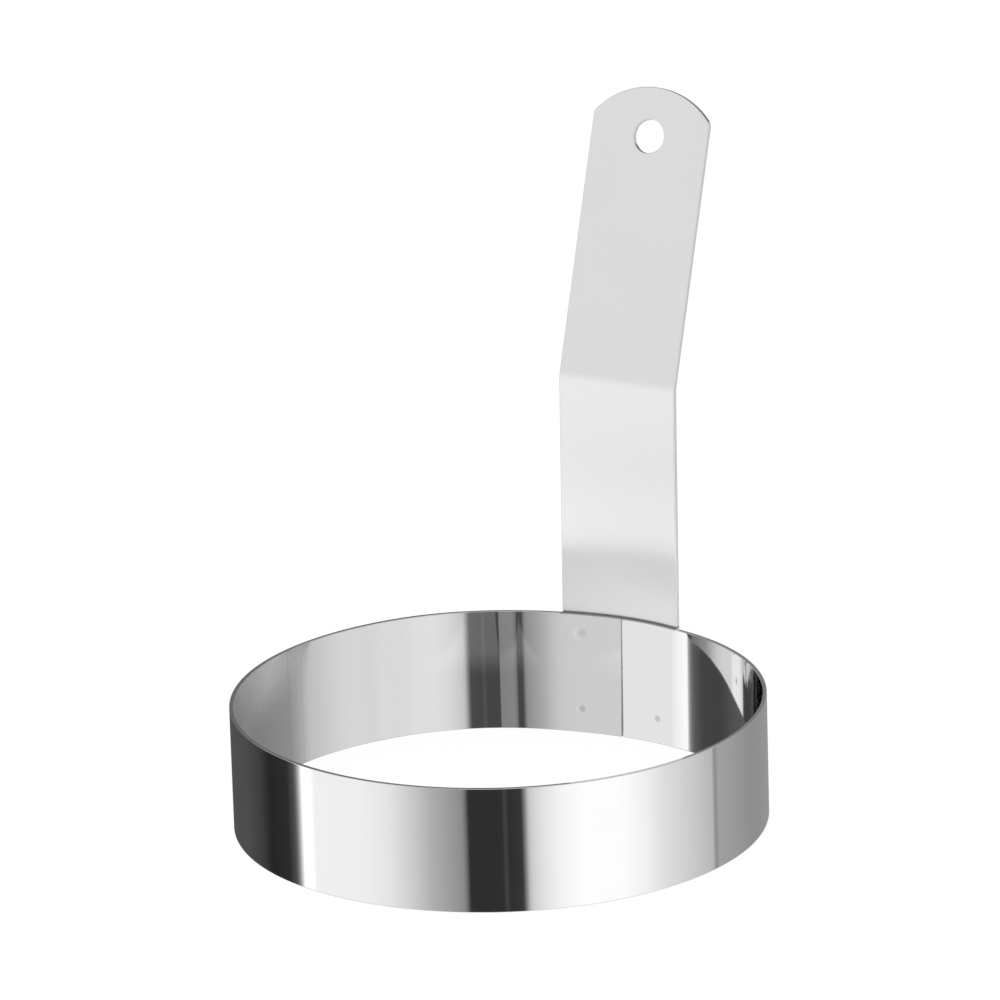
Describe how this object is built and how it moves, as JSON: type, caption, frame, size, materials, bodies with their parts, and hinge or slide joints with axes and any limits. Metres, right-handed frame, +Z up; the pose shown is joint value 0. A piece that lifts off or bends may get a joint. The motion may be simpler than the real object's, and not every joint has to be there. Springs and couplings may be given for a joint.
{
  "type": "egg ring",
  "caption": "Round steel egg ring: a rolled band with a flat upright handle spot welded over its butt joint, ending in a rounded tip with a hang hole.",
  "frame": {"origin": "on the ring's axis, in the plane of the band's lower edge, on which the ring stands", "axes": "+Z up along the ring's axis, +Y from the ring's axis towards the handle, +X to the right of the handle seen from the ring's middle"},
  "size_m": [0.1016, 0.1201, 0.1262],
  "materials": {
    "polished_steel": "mirror polished, with fine wiping marks",
    "satin_steel": "fine satin, as rolled",
    "weld_steel": "dull, as fused"
  },
  "bodies": {
    "root": {"ring_band": "polished_steel", "handle": "satin_steel", "weld_upper_left": "weld_steel", "weld_upper_right": "weld_steel", "weld_lower_left": "weld_steel", "weld_lower_right": "weld_steel"}
  },
  "joints": []
}
